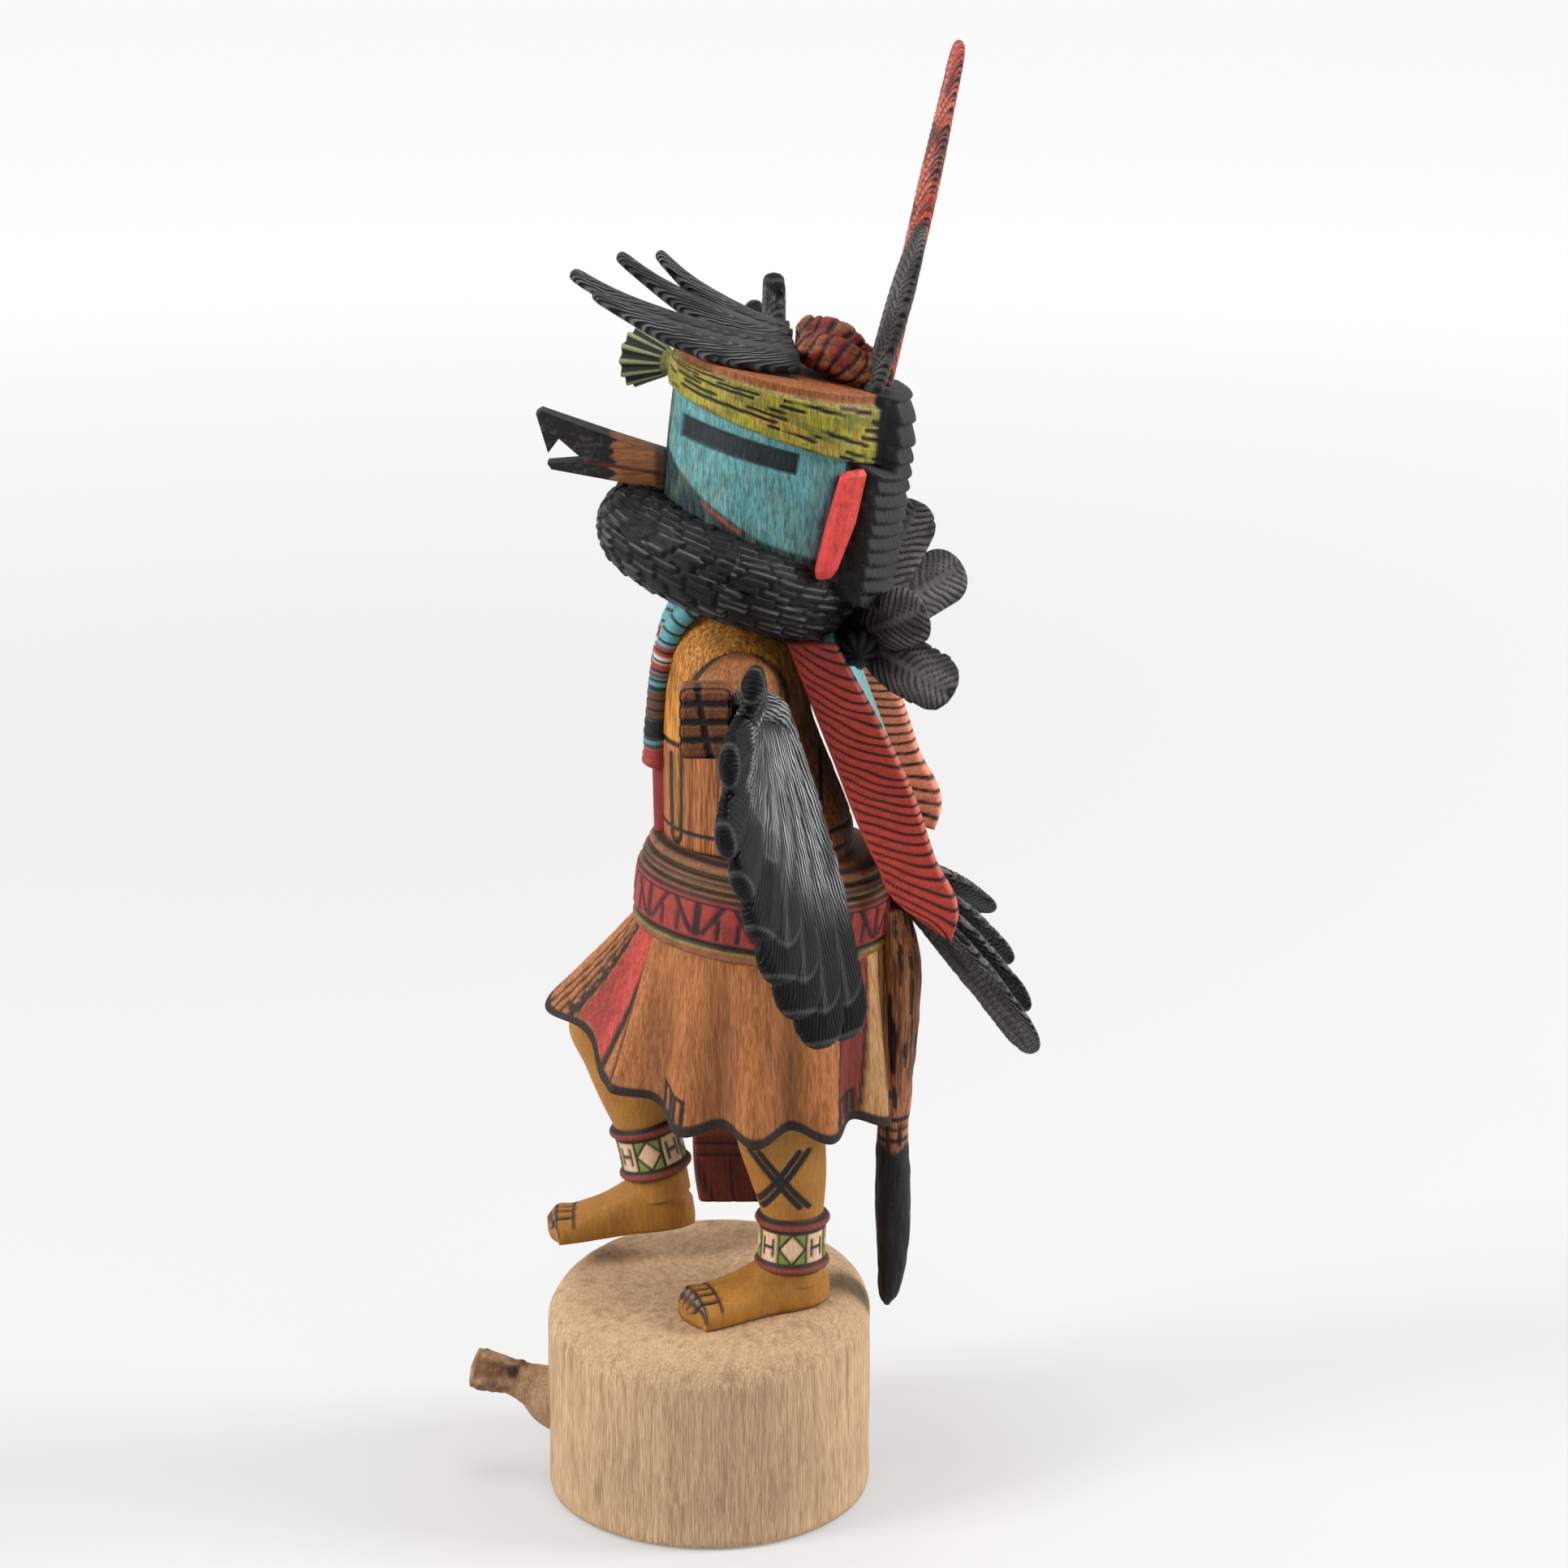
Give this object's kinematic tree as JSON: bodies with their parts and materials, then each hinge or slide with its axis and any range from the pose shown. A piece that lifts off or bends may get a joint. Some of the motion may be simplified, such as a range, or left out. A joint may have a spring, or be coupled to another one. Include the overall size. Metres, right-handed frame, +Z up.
{
  "type": "kachina doll",
  "caption": "Carved and painted wooden kachina doll in a dancing pose, one knee raised, with winged arms, on a round root base.",
  "frame": {"origin": "centre of the root base's underside", "axes": "+Z up; the figure faces -Y, and its left arm points along +X"},
  "size_m": [0.1913, 0.1193, 0.3052],
  "materials": {
    "bare_root": "bare sanded cottonwood root, matt",
    "painted_body": "carved wood, stained brown with matt mineral colours",
    "beak_wood": "stained wood with a black tip, matt",
    "ear_red": "matt red paint on wood",
    "blossom_green": "matt green paint on wood",
    "black_feather": "scorched and painted carved wood, satin ridges",
    "red_feather": "matt red paint on carved wood",
    "tablet_turquoise": "matt turquoise paint on wood",
    "fringe_red": "matt red paint on carved wood",
    "arm_brown": "stained carved wood, matt"
  },
  "bodies": {
    "root": {"base": "bare_root", "figure": "painted_body", "beak": "beak_wood", "left_ear": "ear_red", "right_ear": "ear_red", "squash_blossom": "blossom_green", "crown_feather_fan": "black_feather", "red_plume": "red_feather", "tall_black_feather": "black_feather", "tall_red_feather": "red_feather", "nape_feather_fan": "black_feather", "back_tablet": "tablet_turquoise", "left_tablet_fringe": "fringe_red", "right_tablet_fringe": "fringe_red", "tail_feather_fan": "black_feather", "left_arm": "arm_brown", "left_wing": "black_feather", "right_arm": "arm_brown", "right_wing": "black_feather"}
  },
  "joints": []
}
